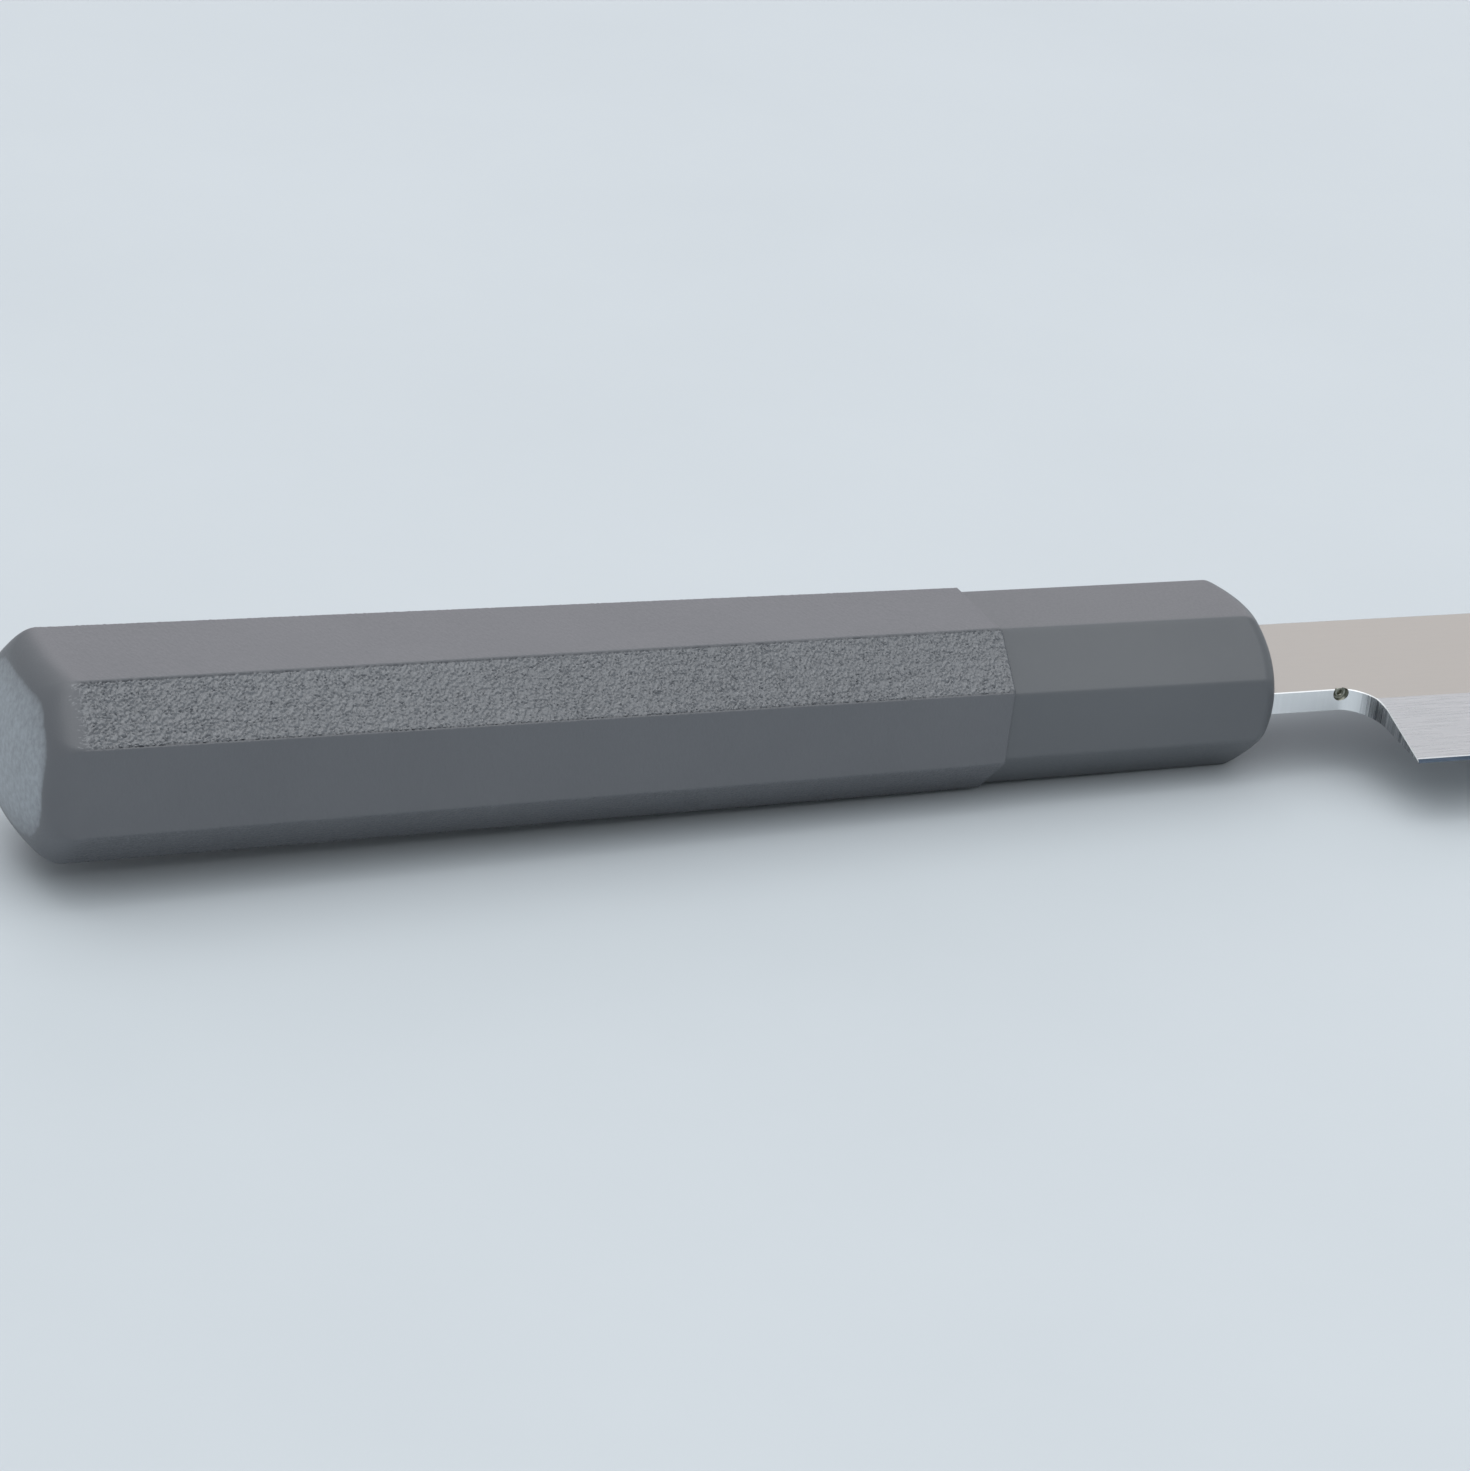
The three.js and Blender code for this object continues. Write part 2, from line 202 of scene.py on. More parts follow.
# Noise of the materials: the range that most of its values lie in, and its size along each axis in 1/m
NOISE_RANGE = (0.3, 0.7)
RESIN_CLOUDS = (90, 90, 90)
PAINTED_BUTT_LIGHT_MOTTLES = (1600, 1600, 1600)
ADHESIVE_CLOUDS = (400, 400, 400)
FLOOR_CLOUDS = (14, 14, 14)

# Floor's reach in metres and the range of its clouds, and the even fill light
FLOOR_REACH = 8.0
FLOOR_CLOUD_RANGE = (0.25, 0.75)
FILL_COLOUR = (0.91, 0.97, 1.0, 1)
FILL_STRENGTH = 0.5

# Photograph's camera, by angles in degrees and distances in millimetres, for an image of 1470 by 1471 pixels
IMAGE_LONG_SIDE = 1471
FOCAL_PIXELS = 6500
SENSOR_MM = 36
CAMERA_AZIMUTH = 26.344
CAMERA_ELEVATION = 23.562
CAMERA_ROLL = 7.456
CAMERA_DISTANCE = 650.28
CAMERA_ASIDE = (23.378, 4.831)


# Meshes
def new_object(name, points, faces, materials, face_materials=None):
    """Object from points in knife coordinates, with one material for all faces or an index for each."""
    mesh = bpy.data.meshes.new(name)
    places = np.asarray(points, float) * MM + np.array(AXIS)
    mesh.from_pydata(places.tolist(), [], faces)
    for material in materials:
        mesh.materials.append(material)
    if face_materials is not None:
        mesh.polygons.foreach_set("material_index", face_materials)
    mesh.validate()
    piece = bpy.data.objects.new(name, mesh)
    bpy.context.scene.collection.objects.link(piece)
    return piece


def loft(rings):
    """Points and faces of a closed skin over rings of equal count, anticlockwise seen from the tip."""
    count = len(rings[0])
    points = np.vstack([*rings, rings[0].mean(0), rings[-1].mean(0)])
    start = len(points) - 2
    end = len(points) - 1
    last = (len(rings) - 1) * count
    here = np.arange(count)
    ahead = np.roll(here, -1)
    faces = []
    for base in range(0, last, count):
        quads = np.stack([here + base, ahead + base, ahead + base + count, here + base + count], 1)
        faces.extend(quads.tolist())
    sides = list(zip(here.tolist(), ahead.tolist()))
    faces.extend([start, second, first] for first, second in sides)
    faces.extend([end, last + first, last + second] for first, second in sides)
    return points, faces


def stacked(rings):
    """Points and faces of a block over rings, clockwise seen from the last: its two caps, then its walls."""
    count = len(rings[0])
    points = np.array([point for ring in rings for point in ring])
    last = len(points) - count
    faces = [tuple(range(count)), tuple(reversed(range(last, len(points))))]
    for base in range(0, last, count):
        for k in range(count):
            ahead = (k + 1) % count
            faces.append((base + ahead, base + k, base + count + k, base + count + ahead))
    return points, faces


def box_object(name, low, high, materials):
    """Plain block, used only as a cutter."""
    corners = np.array(list(itertools.product(*zip(low, high))))
    faces = [(0, 1, 3, 2), (4, 6, 7, 5), (0, 4, 5, 1), (2, 3, 7, 6), (0, 2, 6, 4), (1, 5, 7, 3)]
    return new_object(name, corners, faces, materials)


def combine(piece, tool, operation):
    """Cuts the tool out of the piece, or joins it on, and deletes the tool."""
    modifier = piece.modifiers.new("combine", "BOOLEAN")
    modifier.operation = operation
    modifier.solver = "MANIFOLD"
    modifier.object = tool
    bpy.context.view_layer.update()
    evaluated = piece.evaluated_get(bpy.context.evaluated_depsgraph_get())
    mesh = bpy.data.meshes.new_from_object(evaluated)
    piece.modifiers.clear()
    old = piece.data
    piece.data = mesh
    bpy.data.meshes.remove(old)
    bpy.data.objects.remove(tool)


def read_vectors(items, attribute):
    """Vector attribute of all vertices or faces of a mesh, one row for each."""
    values = np.empty(len(items) * 3, np.float32)
    items.foreach_get(attribute, values)
    return values.reshape(-1, 3)


def read_integers(items, attribute):
    """Integer attribute of all faces or loops of a mesh."""
    values = np.empty(len(items), np.int32)
    items.foreach_get(attribute, values)
    return values


def shade(piece, crease_degrees, crease_finishes=True):
    """Smooth shading, with creases where faces meet at more than the angle or, if asked, differ in finish."""
    mesh = piece.data
    count = len(mesh.polygons)
    mesh.polygons.foreach_set("use_smooth", np.ones(count, bool))
    normals = read_vectors(mesh.polygons, "normal")
    finishes = read_integers(mesh.polygons, "material_index")
    loop_faces = np.repeat(np.arange(count), read_integers(mesh.polygons, "loop_total"))
    by_edge = np.argsort(read_integers(mesh.loops, "edge_index"), kind="stable")
    first, second = loop_faces[by_edge].reshape(-1, 2).T
    cosines = np.einsum("ij,ij->i", normals[first], normals[second])
    sharp = cosines < math.cos(math.radians(crease_degrees))
    if crease_finishes:
        sharp |= finishes[first] != finishes[second]
    mesh.edges.foreach_set("use_edge_sharp", sharp)
    mesh.update()


def smoothstep(low, high, value):
    """Smooth rise from 0 at low to 1 at high."""
    share = np.clip((value - low) / (high - low), 0, 1)
    return share * share * (3 - 2 * share)


# Handle sections: a rectangle with its corners cut at 45 degrees, as (width, depth, cut)
GRIP_FRONT = (FERRULE_WIDTH + 2 * GRIP_STEP, FERRULE_BACK_DEPTH + 2 * GRIP_STEP, GRIP_CORNER_CUT)
GRIP_BUTT = (BUTT_WIDTH, BUTT_DEPTH, GRIP_CORNER_CUT)
FERRULE_BACK = (FERRULE_WIDTH, FERRULE_BACK_DEPTH, FERRULE_CORNER_CUT)
FERRULE_FRONT = (FERRULE_WIDTH, FERRULE_FRONT_DEPTH, FERRULE_CORNER_CUT)


def inset(section, amount):
    """Section with all eight flats moved inward by the amount."""
    return np.asarray(section, float) - np.array([2, 2, 2 - math.sqrt(2)]) * amount


def section_corners(section):
    """Eight corners in y and z, anticlockwise seen from the tip."""
    width, depth, cut = section
    far_y = width / 2
    far_z = depth / 2
    near_y = far_y - cut
    near_z = far_z - cut
    return np.array([
        (far_y, -near_z), (far_y, near_z), (near_y, far_z), (-near_y, far_z),
        (-far_y, near_z), (-far_y, -near_z), (-near_y, -far_z), (near_y, -far_z),
    ])


def flat_counts(section, spacings):
    """Steps across each of the eight flats, with spacings for the straight flats and the slanted ones."""
    corners = section_corners(section)
    lengths = np.linalg.norm(np.roll(corners, -1, 0) - corners, axis=1)
    return [max(2, round(length / spacings[k % 2])) for k, length in enumerate(lengths)]


def outline(section, counts, softening=EDGE_SOFTENING):
    """Points round a section in y and z, with its eight corners softened over a length to each side."""
    corners = section_corners(section)
    points = []
    for k, corner in enumerate(corners):
        ahead = corners[(k + 1) % len(corners)]
        back_way = corners[k - 1] - corner
        on_way = ahead - corner
        before = corner + back_way / np.linalg.norm(back_way) * softening
        after = corner + on_way / np.linalg.norm(on_way) * softening
        for step in range(EDGE_SOFTENING_STEPS + 1):
            share = step / EDGE_SOFTENING_STEPS
            rest = 1 - share
            points.append(rest ** 2 * before + 2 * share * rest * corner + share * share * after)
        flat_end = ahead - on_way / np.linalg.norm(on_way) * softening
        points.extend(after + (flat_end - after) * step / counts[k] for step in range(1, counts[k]))
    return np.array(points)


class Taper:
    """Handle section that changes evenly from end to end, with the same count of points all along."""

    def __init__(self, from_x, from_section, to_x, to_section, spacings):
        self.from_x = from_x
        self.to_x = to_x
        self.sections = (from_section, to_section)
        self.counts = flat_counts(to_section, spacings)

    def points(self, x, amount=0.0, softening=EDGE_SOFTENING):
        """Outline inset by an amount, where x is one place or one for each point."""
        near, far = (outline(inset(section, amount), self.counts, softening) for section in self.sections)
        share = (np.asarray(x, float) - self.from_x) / (self.to_x - self.from_x)
        return near + (far - near) * share.reshape(-1, 1)

    def ring(self, x, amount=0.0):
        """Outline at one place, inset by an amount, in x, y and z."""
        flat = self.points(x, amount)
        return np.column_stack([np.full(len(flat), float(x)), flat])

    def crowned(self, apex_x, side, crown_radii, rim, rim_steps, crown_shares, corner_round=0.0):
        """Rings of an end, from the flats over its rim to its crown; side is 1 in front, -1 at the butt."""
        def crown_x(flat):
            fall = flat[:, 0] ** 2 / (2 * crown_radii[0]) + flat[:, 1] ** 2 / (2 * crown_radii[1])
            return apex_x - side * fall

        rings = []
        for turn in np.linspace(0, math.pi / 2, rim_steps):
            inward = 1 - math.cos(turn)
            set_back = side * rim * (1 - math.sin(turn))
            softening = EDGE_SOFTENING + corner_round * inward
            flat = self.points(apex_x, rim * inward, softening)
            flat = self.points(crown_x(flat) - set_back, rim * inward, softening)
            rings.append(np.column_stack([crown_x(flat) - set_back, flat]))
        rim_top = rings[-1][:, 1:]
        for share in crown_shares:
            rings.append(np.column_stack([crown_x(rim_top * share), rim_top * share]))
        return rings


# Leather grain
def cell_random(cells, salt):
    """Three numbers from 0 to 1 for each cell, always the same ones."""
    mixed = (cells.astype(np.int64) * np.array(CELL_PRIMES)).sum(1) + salt
    values = []
    for prime in POINT_PRIMES:
        scrambled = (mixed * prime) & WORD
        scrambled ^= scrambled >> MIXING_SHIFTS[0]
        scrambled = (scrambled * MIXING_PRIME) & WORD
        values.append((scrambled ^ (scrambled >> MIXING_SHIFTS[1])) / WORD)
    return np.stack(values, 1)


def cell_gap(points, cell, salt):
    """How much further the second nearest of the cells' random points is than the nearest, in cells."""
    places = points / np.asarray(cell)
    base = np.floor(places)
    nearest = np.full(len(points), np.inf)
    second = nearest
    for offset in itertools.product((-1, 0, 1), repeat=3):
        corner = base + offset
        distance = np.linalg.norm(corner + cell_random(corner, salt) - places, axis=1)
        second = np.minimum(second, np.maximum(nearest, distance))
        nearest = np.minimum(nearest, distance)
    return second - nearest


def grain_depth(points):
    """Depth of the grain below the skin, from 0 on top of a pebble to 1 in the creases."""
    long_wave = LONG_WAVE * np.sin(points[:, [1, 2, 0]] * LONG_WAVE_TURN + LONG_WAVE_START)
    short_wave = SHORT_WAVE * np.sin(points[:, [2, 0, 1]] * SHORT_WAVE_TURN)
    places = points + long_wave + short_wave
    places[:, 0] += GRAIN_SLANT * (points[:, 1] + points[:, 2])
    coarse = np.exp(-GRAIN_SHARPNESS * cell_gap(places, GRAIN_COARSE_CELL, COARSE_SALT))
    fine = np.exp(-GRAIN_SHARPNESS * cell_gap(places, GRAIN_FINE_CELL, FINE_SALT))
    forward = smoothstep(*GRAIN_FINENESS_SPAN, 1 + points[:, 0] / GRIP_LENGTH)
    fineness = GRAIN_BUTT_FINENESS + (GRAIN_FRONT_FINENESS - GRAIN_BUTT_FINENESS) * forward
    return np.clip((1 - fineness) * coarse + fineness * fine, 0, 1)


def sunken(points, normals, relief):
    """Points moved inward by the grain's depth, which fades out at the butt's rim and at the front edge."""
    depth = relief * np.interp(points[:, 0], (-GRIP_LENGTH, 0), (GRAIN_BUTT_DEPTH, GRAIN_FRONT_DEPTH))
    slanted = smoothstep(*SLANTED_GRAIN, np.minimum(abs(normals[:, 1]), abs(normals[:, 2])))
    slanted *= np.where(normals[:, 2] > 0, 1, GRAIN_LOWER_SHARE)
    depth *= GRAIN_SMOOTH_SHARE + (1 - GRAIN_SMOOTH_SHARE) * slanted
    depth *= smoothstep(*GRAIN_BUTT_FADE, points[:, 0] + GRIP_LENGTH - BUTT_RIM)
    depth *= 1 - smoothstep(*GRAIN_FRONT_FADE, points[:, 0])
    return points - normals * depth[:, None]


def painted_light_faces(mesh, face_relief):
    """Which faces get the lighter grained resin, painted light on the slanted flats that face up, from a
    ragged start.
    """
    facing = read_vectors(mesh.polygons, "normal")
    centres = read_vectors(mesh.polygons, "center")
    past_rim = (centres[:, 0] - AXIS[0]) / MM + GRIP_LENGTH - BUTT_RIM
    started = past_rim > GRAIN_BUTT_FADE[1] - (GRAIN_BUTT_FADE[1] - GRAIN_BUTT_FADE[0]) * face_relief
    return started & (abs(facing[:, 1]) > SLANTED_NORMAL) & (facing[:, 2] > SLANTED_NORMAL)


# Grip
def grip_rings():
    """Rings of the skin, from the butt's crown to the broken front edge, and rings of the socket inside."""
    taper = Taper(0, GRIP_FRONT, -GRIP_LENGTH, GRIP_BUTT, (SMOOTH_SPACING, GRAIN_SPACING))
    skin = taper.crowned(
        -GRIP_LENGTH, -1, BUTT_CROWN_RADII, BUTT_RIM, BUTT_RIM_STEPS, BUTT_CROWN_SHARES, BUTT_CORNER_ROUND,
    )
    skin.reverse()
    rim_x = skin[-1][:, 0]
    stations = round((GRIP_LENGTH - BUTT_RIM) / GRAIN_SPACING)
    for share in np.linspace(0, 1, stations)[1:]:
        x = rim_x * (1 - share) - GRIP_BREAK * share
        skin.append(np.column_stack([x, taper.points(x)]))
    skin.append(taper.ring(0, GRIP_BREAK))
    mouth = taper.ring(0, SOCKET_WALL)
    socket_floor = mouth.copy()
    socket_floor[:, 0] = -SPIGOT_LENGTH - FIT_GAP
    return skin, [mouth, socket_floor]


def make_grip(materials):
    """Grained handle body, with its socket for the spigot and its bore for the tang's adhesive."""
    skin, socket = grip_rings()
    points, faces = loft(skin + socket)
    piece = new_object("grip_shell", points, faces, materials)
    mesh = piece.data

    skin_points = sum(len(ring) for ring in skin)
    relief = np.zeros(len(points))
    relief[:skin_points] = grain_depth(points[:skin_points])
    # The slanted flats that face up get a lighter copy of the resin: painted light, along with their glossier
    # grained finish
    lit_flats = painted_light_faces(mesh, relief[[face[0] for face in faces]])
    mesh.polygons.foreach_set("material_index", lit_flats.astype(np.int32))
    places = sunken(points, read_vectors(mesh.vertices, "normal"), relief) * MM + np.array(AXIS)
    mesh.vertices.foreach_set("co", places.astype(np.float32).ravel())
    mesh.update()

    bond_low, bond_high = (to_knife(corner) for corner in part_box("tang_bond"))
    low = tuple(value - FIT_GAP for value in bond_low)
    high = (0, bond_high.y + FIT_GAP, bond_high.z + FIT_GAP)
    combine(piece, box_object("bore", low, high, materials), "DIFFERENCE")
    shade(piece, GRIP_CREASE_DEGREES, crease_finishes=False)
    return piece


# Ferrule
def make_ferrule(material):
    """Smooth collar with its spigot, its crowned front and the slots for the neck and the tang."""
    taper = Taper(0, FERRULE_BACK, FERRULE_LENGTH, FERRULE_FRONT, (FERRULE_SPACING, FERRULE_SPACING))
    spigot = outline(inset(GRIP_FRONT, SOCKET_WALL + FIT_GAP), taper.counts)
    rings = [np.column_stack([np.full(len(spigot), x), spigot]) for x in (-SPIGOT_LENGTH, JOINT_GAP)]
    rings.append(taper.ring(JOINT_GAP))
    rings.extend(taper.crowned(
        FERRULE_LENGTH, 1, FERRULE_CROWN_RADII, FERRULE_RIM, FERRULE_RIM_STEPS, FERRULE_CROWN_SHARES,
    ))
    points, faces = loft(rings)
    piece = new_object("ferrule_shell", points, faces, [material])

    half_slot = STEEL_THICKNESS / 2 + FIT_GAP
    half_neck = SPINE_Y + FIT_GAP
    low = (SHOULDER_X - FIT_GAP, -half_neck, -half_slot)
    high = (FERRULE_LENGTH + CUT_MARGIN, half_neck, half_slot)
    combine(piece, box_object("slot", low, high, [material]), "DIFFERENCE")
    half_tang = TANG_ROOT_WIDTH / 2 + FIT_GAP
    low = (-SPIGOT_LENGTH - CUT_MARGIN, -half_tang, -half_slot)
    high = (SHOULDER_X, half_tang, half_slot)
    combine(piece, box_object("tang_slot", low, high, [material]), "DIFFERENCE")
    shade(piece, FERRULE_CREASE_DEGREES)
    return piece


# Blade
def blade_section(share):
    """Section at a share of the length: points in y and height above the back, with the finish after each."""
    spine = SPINE_Y - SPINE_DROP * share ** SPINE_DROP_POWER
    early = EDGE_EARLY_SHARE * share ** EDGE_EARLY_POWER
    belly = (1 - EDGE_EARLY_SHARE) * share ** EDGE_BELLY_POWER
    edge = HEEL_Y + (HEEL_HEIGHT - SPINE_DROP - TIP_HEIGHT) * (early + belly)
    height = spine - edge

    fine = min(FINE_BEVEL_WIDTH, height * FINE_BEVEL_SHARE)
    fine_rise = FINE_BEVEL_RISE * fine / FINE_BEVEL_WIDTH
    fine_line = FINE_LINE * fine / FINE_BEVEL_WIDTH
    bevel = min(BEVEL_WIDTH, height * BEVEL_SHARE)
    full = STEEL_THICKNESS + (TIP_THICKNESS - STEEL_THICKNESS) * share
    slope = (full - EDGE_LAND - FINE_BEVEL_RISE) / (BEVEL_WIDTH - FINE_BEVEL_WIDTH)
    thickness = EDGE_LAND + fine_rise + slope * (bevel - fine)
    rounding = min(SPINE_ROUND, height * SPINE_ROUND_SHARE, thickness * SPINE_ROUND_THICKNESS_SHARE)
    rim = min(BACK_RIM, height * BACK_RIM_SHARE)
    hollow = HOLLOW_DEPTH * float(smoothstep(0, HOLLOW_FADE, share * BLADE_LENGTH)) * height / HEEL_HEIGHT

    points = []
    finishes = []

    def add(y, z, finish):
        points.append((y, z))
        finishes.append(finish)

    quarter_turn = np.linspace(0, math.pi / 2, SPINE_ROUND_STEPS)
    for turn in quarter_turn:
        add(spine - rounding * (1 - math.sin(turn)), rounding * (1 - math.cos(turn)), POLISHED)
    for turn in quarter_turn:
        add(spine - rounding * (1 - math.cos(turn)), thickness - rounding * (1 - math.sin(turn)), POLISHED)
    finishes[-1] = FLAT
    add(edge + bevel, thickness, BEVEL)
    add(edge + fine + fine_line, EDGE_LAND + fine_rise + slope * fine_line, BROKEN)
    add(edge + fine, EDGE_LAND + fine_rise, FINE)
    add(edge, EDGE_LAND, FINE)
    add(edge, 0, BACK)
    for across in np.linspace(0, 1, HOLLOW_STEPS):
        add(edge + rim + (height - 2 * rim) * across, 4 * hollow * across * (1 - across), BACK)
    return np.array(points), finishes


def front_height(y):
    """Height of the heel's front surface above the back, at a place y on the blade."""
    slope = (STEEL_THICKNESS - EDGE_LAND - FINE_BEVEL_RISE) / (BEVEL_WIDTH - FINE_BEVEL_WIDTH)
    bevel = EDGE_LAND + FINE_BEVEL_RISE + slope * (y - HEEL_Y - FINE_BEVEL_WIDTH)
    return min(STEEL_THICKNESS, max(bevel, EDGE_LAND))


def choil_path():
    """Cut below the neck, from underside over arc to heel: points, directions into the steel, finishes."""
    centre_y = NECK_UNDERSIDE_Y - CHOIL_DROP
    end_turn = -math.atan(CHOIL_DROP / CHOIL_REACH * math.tan(HEEL_RAKE))
    end_y = centre_y + CHOIL_DROP * math.sin(end_turn)
    centre_x = HEEL_X + (end_y - HEEL_Y) * math.tan(HEEL_RAKE) - CHOIL_REACH * math.cos(end_turn)
    path = [((SHOULDER_X - CUT_MARGIN, NECK_UNDERSIDE_Y), (0, 1), POLISHED)]
    for turn in np.linspace(math.pi / 2, end_turn, CHOIL_STEPS):
        inward = Vector((math.cos(turn) / CHOIL_REACH, math.sin(turn) / CHOIL_DROP)).normalized()
        point = (centre_x + CHOIL_REACH * math.cos(turn), centre_y + CHOIL_DROP * math.sin(turn))
        path.append((point, tuple(inward), POLISHED if turn > CHOIL_GROUND_TURN else GROUND))
    (_, arc_end_y), heel_inward, _ = path[-1]
    for y in np.linspace(arc_end_y, HEEL_Y - CUT_MARGIN, HEEL_STEPS)[1:]:
        path.append(((HEEL_X + (y - HEEL_Y) * math.tan(HEEL_RAKE), y), heel_inward, GROUND))
    return path


def choil_cutter(materials):
    """Block below the choil's path, which widens at the blade's face and so breaks the choil's front edge."""
    path = choil_path()

    def ring(reach, heights):
        points = []
        for ((x, y), (inward_x, inward_y), _), z in zip(path, heights):
            points.append((x + inward_x * reach, y + inward_y * reach, z))
        points.append((SHOULDER_X - CUT_MARGIN, HEEL_Y - CUT_MARGIN, heights[-1]))
        return points

    face = np.array([BACK_Z + front_height(y) for (_, y), _, _ in path])
    below = np.full(len(path), BACK_Z - CUT_MARGIN)
    above = np.full(len(path), BACK_Z + STEEL_THICKNESS + CUT_MARGIN)
    wide = 2 * EDGE_BREAK
    rings = [ring(0, below), ring(0, face - EDGE_BREAK), ring(wide, face + EDGE_BREAK), ring(wide, above)]
    points, faces = stacked(rings)
    caps = [POLISHED] * 2
    wall = [finish for _, _, finish in path] + [GROUND]
    broken_edge = [BROKEN] * len(wall)
    clear_of_steel = [POLISHED] * len(wall)
    return new_object("choil", points, faces, materials, caps + wall + broken_edge + clear_of_steel)


def pit_cutter(materials):
    """Turned shape of the small pit: a lip, a sloping dish, a raised ring and a deeper core."""
    lip = PIT_RADIUS + PIT_LIP
    profile = [(lip, -PIT_CUT_MARGIN), (lip, PIT_LIP_DEPTH)]
    profile.extend((PIT_RADIUS * share, depth) for share, depth in PIT_PROFILE)
    centre = np.array([HEEL_X - PIT_TO_HEEL, NECK_UNDERSIDE_Y, BACK_Z + STEEL_THICKNESS - PIT_TO_FACE])
    turns = [2 * math.pi * k / PIT_SIDES for k in range(PIT_SIDES)]
    rings = []
    for radius, depth in profile:
        rings.append([centre + (radius * math.cos(turn), depth, radius * math.sin(turn)) for turn in turns])
    points, faces = stacked(rings)
    return new_object("pit", points, faces, materials, [PIT] * len(faces))


def tang_solid(materials):
    """Stick tang that narrows towards its round end."""
    end_radius = TANG_END_WIDTH / 2
    end_x = TANG_END_X + end_radius
    root = TANG_ROOT_WIDTH / 2
    front = SHOULDER_X + TANG_RELIEF
    path = [(front, root)]
    for turn in np.linspace(math.pi / 2, 3 * math.pi / 2, TANG_END_STEPS):
        path.append((end_x + end_radius * math.cos(turn), end_radius * math.sin(turn)))
    path.append((front, -root))
    half = STEEL_THICKNESS / 2 - TANG_RELIEF
    points, faces = stacked([[(x, y, z) for x, y in path] for z in (half, -half)])
    return new_object("tang", points, faces, materials, [BACK] * len(faces))


def make_blade(materials):
    """Blade and neck as one loft from shoulder to tip, with choil and pit cut out and the tang joined on."""
    stations = np.arange(BLADE_STATIONS + 1) / BLADE_STATIONS
    shares = 1 - (1 - stations) ** 2
    places = [(SHOULDER_X, 0.0), *((HEEL_X + share * BLADE_LENGTH, float(share)) for share in shares)]
    rings = []
    for x, share in places:
        flat, finishes = blade_section(share)
        rings.append(np.column_stack([np.full(len(flat), x), flat[:, 0], flat[:, 1] + BACK_Z]))
    points, faces = loft(rings)
    ends = [POLISHED] * (2 * len(finishes))
    piece = new_object("blade_steel", points, faces, materials, finishes * (len(rings) - 1) + ends)
    combine(piece, choil_cutter(materials), "DIFFERENCE")
    combine(piece, pit_cutter(materials), "DIFFERENCE")
    combine(piece, tang_solid(materials), "UNION")
    shade(piece, BLADE_CREASE_DEGREES)
    return piece


# Materials
def new_material(name):
    """Material with its nodes, links and main shader."""
    material = bpy.data.materials.new(name)
    material.use_nodes = True
    nodes = material.node_tree.nodes
    return material, nodes, material.node_tree.links, nodes["Principled BSDF"]


def noise(nodes, links, stretch, detail=4.0, roughness=0.55):
    """Noise with its size along each axis in 1/m."""
    coordinates = nodes.new("ShaderNodeTexCoord")
    mapping = nodes.new("ShaderNodeMapping")
    mapping.inputs["Scale"].default_value = stretch
    texture = nodes.new("ShaderNodeTexNoise")
    texture.inputs["Scale"].default_value = 1.0
    texture.inputs["Detail"].default_value = detail
    texture.inputs["Roughness"].default_value = roughness
    links.new(coordinates.outputs["Object"], mapping.inputs["Vector"])
    links.new(mapping.outputs["Vector"], texture.inputs["Vector"])
    return texture.outputs["Fac"]


def ramp(nodes, links, source, colours, socket, limits=NOISE_RANGE):
    """Blends two colours into a socket between the source's limits, and on to a third one at 1 if given."""
    blend = nodes.new("ShaderNodeValToRGB")
    elements = blend.color_ramp.elements
    for k, position in enumerate(limits):
        elements[k].position = position
        elements[k].color = (*colours[k], 1)
    for end_colour in colours[2:]:
        elements.new(1.0).color = (*end_colour, 1)
    links.new(source, blend.inputs["Fac"])
    links.new(blend.outputs["Color"], socket)


def spread(nodes, links, source, results, socket):
    """Turns noise into values of a socket between two results."""
    node = nodes.new("ShaderNodeMapRange")
    node.inputs["From Min"].default_value = NOISE_RANGE[0]
    node.inputs["From Max"].default_value = NOISE_RANGE[1]
    node.inputs["To Min"].default_value = results[0]
    node.inputs["To Max"].default_value = results[1]
    links.new(source, node.inputs["Value"])
    links.new(node.outputs["Result"], socket)


def bump(nodes, links, source, shader, microns):
    """Bumps of a height in microns."""
    node = nodes.new("ShaderNodeBump")
    node.inputs["Strength"].default_value = 1.0
    node.inputs["Distance"].default_value = microns * MICRON
    links.new(source, node.inputs["Height"])
    links.new(node.outputs["Normal"], shader.inputs["Normal"])


def painted_butt_light(nodes, links, clouds):
    """The clouds' noise, raised to a mottled value near 1 where the surface faces the rear: painted light on
    the butt, standing in for light from the left.
    """
    mottles = noise(nodes, links, PAINTED_BUTT_LIGHT_MOTTLES, detail=3.0)
    surface = nodes.new("ShaderNodeNewGeometry")
    parts = nodes.new("ShaderNodeSeparateXYZ")
    butt_light = nodes.new("ShaderNodeMapRange")
    butt_light.inputs["From Min"].default_value = -PAINTED_BUTT_LIGHT_NORMAL[0]
    butt_light.inputs["From Max"].default_value = -PAINTED_BUTT_LIGHT_NORMAL[1]
    links.new(surface.outputs["Normal"], parts.inputs["Vector"])
    links.new(parts.outputs["X"], butt_light.inputs["Value"])
    links.new(clouds, butt_light.inputs["To Min"])
    spread(nodes, links, mottles, PAINTED_BUTT_LIGHT_MOTTLING, butt_light.inputs["To Max"])
    return butt_light.outputs["Result"]


